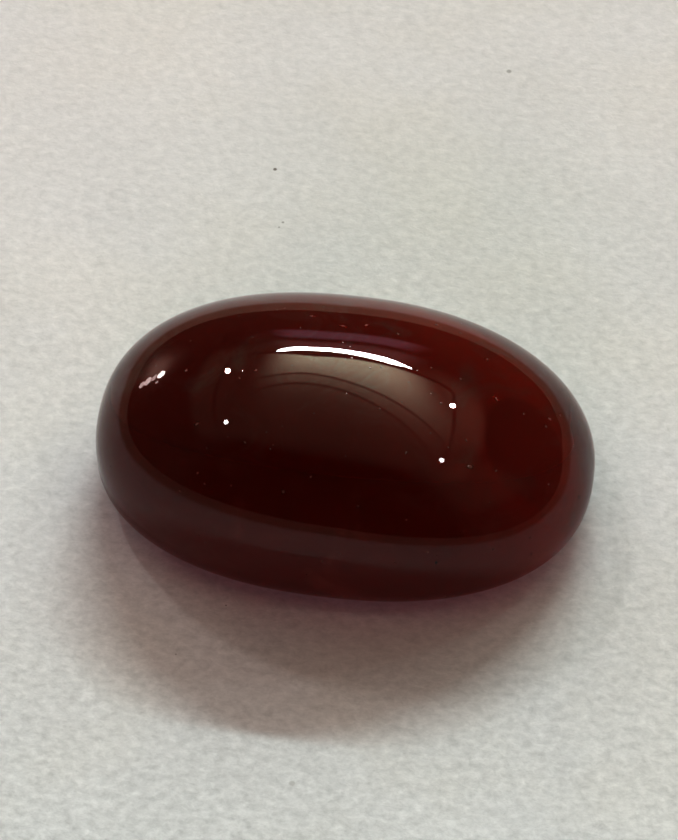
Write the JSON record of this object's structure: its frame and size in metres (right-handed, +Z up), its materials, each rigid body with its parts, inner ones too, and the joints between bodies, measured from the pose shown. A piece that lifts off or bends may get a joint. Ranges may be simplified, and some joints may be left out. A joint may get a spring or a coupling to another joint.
{
  "type": "agate gemstone",
  "caption": "Oval cabochon of deep red translucent agate, cut from one piece of stone, with a flat base and a high polished dome.",
  "frame": {"origin": "middle of the flat base, at the height of the surface that the stone rests on", "axes": "+X along the stone's length, +Y across its width, +Z up through the dome"},
  "size_m": [0.02, 0.014, 0.0082],
  "materials": {
    "agate": "polished, translucent"
  },
  "bodies": {
    "root": {"cabochon": "agate"}
  },
  "joints": []
}
